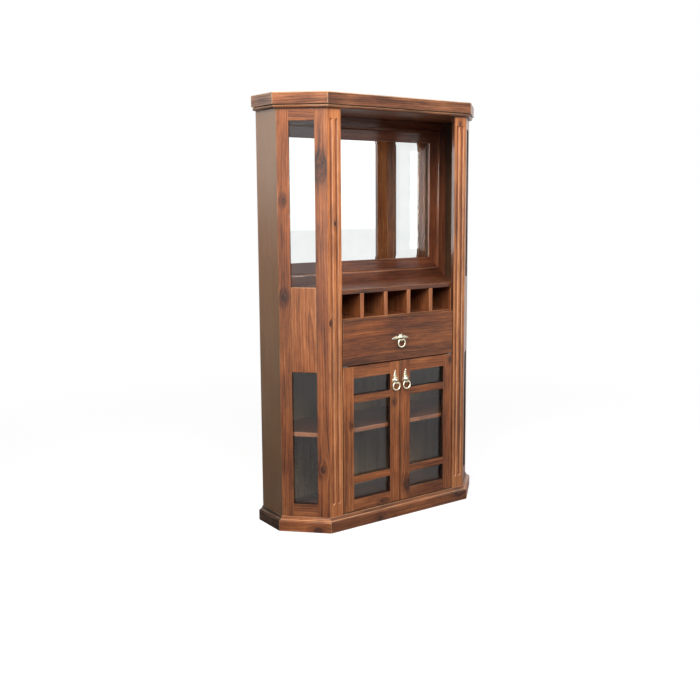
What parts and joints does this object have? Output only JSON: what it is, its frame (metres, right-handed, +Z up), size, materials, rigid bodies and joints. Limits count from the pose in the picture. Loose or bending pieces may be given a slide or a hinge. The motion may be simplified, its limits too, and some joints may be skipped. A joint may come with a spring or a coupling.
{
  "type": "glass display cabinet",
  "caption": "Tall pine display cabinet with canted glazed corners, an open mirror niche, a bottle rack, a drawer and a glazed cupboard.",
  "frame": {"origin": "on the floor, under the middle of the outline of the cornice and plinth", "axes": "+X to the right seen from the front, +Y to the back, +Z up"},
  "size_m": [1.04, 0.325, 1.76],
  "materials": {
    "pine": "stained knotty pine, satin varnish",
    "pine_side": "stained pine board, dull satin",
    "pine_board": "stained pine board, satin",
    "mirror_wood": "dark stained moulding, satin",
    "backing": "stained plywood, matt",
    "drawer_wood": "bare pine",
    "window_glass": "clear float glass",
    "mirror_glass": "bevelled mirror",
    "pull_brass": "antique brass, polished high spots",
    "pivot_steel": "zinc-plated"
  },
  "bodies": {
    "cabinet": {"plinth_side_right": "pine", "plinth_corner_right": "pine", "plinth_front": "pine", "plinth_corner_left": "pine", "plinth_side_left": "pine", "cornice_side_right": "pine", "cornice_corner_right": "pine", "cornice_front": "pine", "cornice_corner_left": "pine", "cornice_side_left": "pine", "pilaster_left": "pine", "pilaster_right": "pine", "corner_frame_left": "pine", "corner_frame_right": "pine", "corner_panel_left": "pine", "corner_panel_right": "pine", "side_panel_left": "pine_side", "side_panel_right": "pine_side", "corner_glass_upper_left": "window_glass", "corner_glass_upper_right": "window_glass", "corner_glass_lower_left": "window_glass", "corner_glass_lower_right": "window_glass", "rack_side_left": "pine_board", "rack_side_right": "pine_board", "drawer_runner_left": "pine_board", "drawer_runner_right": "pine_board", "door_pivot_lower_left": "pivot_steel", "door_pivot_lower_right": "pivot_steel", "door_pivot_upper_left": "pivot_steel", "door_pivot_upper_right": "pivot_steel", "kick_board": "pine_side", "bottom_board": "pine_board", "shelf": "pine_board", "drawer_deck": "pine_board", "rack_floor": "pine_board", "rack_divider_1": "pine_board", "rack_divider_2": "pine_board", "rack_divider_3": "pine_board", "rack_divider_4": "pine_board", "niche_floor": "pine_board", "ceiling_board": "pine_board", "top_board": "pine_side", "back_panel": "backing", "mirror_frame": "mirror_wood", "mirror": "mirror_glass"},
    "drawer": {"drawer_front": "pine", "drawer_back": "drawer_wood", "drawer_bottom": "drawer_wood", "drawer_side_left": "drawer_wood", "drawer_side_right": "drawer_wood", "drawer_pull_plate": "pull_brass"},
    "drawer_ring": {"drawer_pull_ring": "pull_brass"},
    "door_left": {"door_left": "pine", "door_glass_left": "window_glass", "door_left_pull_plate": "pull_brass"},
    "door_left_ring": {"door_left_pull_ring": "pull_brass"},
    "door_right": {"door_right": "pine", "door_glass_right": "window_glass", "door_right_pull_plate": "pull_brass"},
    "door_right_ring": {"door_right_pull_ring": "pull_brass"}
  },
  "joints": [
    {"name": "drawer_slide", "type": "slide", "parent": "cabinet", "child": "drawer", "axis": [0, -1, 0], "range_m": [0, 0.19]},
    {"name": "drawer_ring_swing", "type": "hinge", "parent": "drawer", "child": "drawer_ring", "pos_m": [0, -0.1535, 0.763], "axis": [-1, 0, 0], "range_deg": [0, 85]},
    {"name": "door_left_hinge", "type": "hinge", "parent": "cabinet", "child": "door_left", "pos_m": [-0.2765, -0.1335, 0.064], "axis": [0, 0, -1], "range_deg": [0, 105]},
    {"name": "door_left_ring_swing", "type": "hinge", "parent": "door_left", "child": "door_left_ring", "pos_m": [-0.0275, -0.1535, 0.582], "axis": [-1, 0, 0], "range_deg": [0, 85]},
    {"name": "door_right_hinge", "type": "hinge", "parent": "cabinet", "child": "door_right", "pos_m": [0.2765, -0.1335, 0.064], "axis": [0, 0, 1], "range_deg": [0, 105]},
    {"name": "door_right_ring_swing", "type": "hinge", "parent": "door_right", "child": "door_right_ring", "pos_m": [0.0275, -0.1535, 0.582], "axis": [-1, 0, 0], "range_deg": [0, 85]}
  ]
}
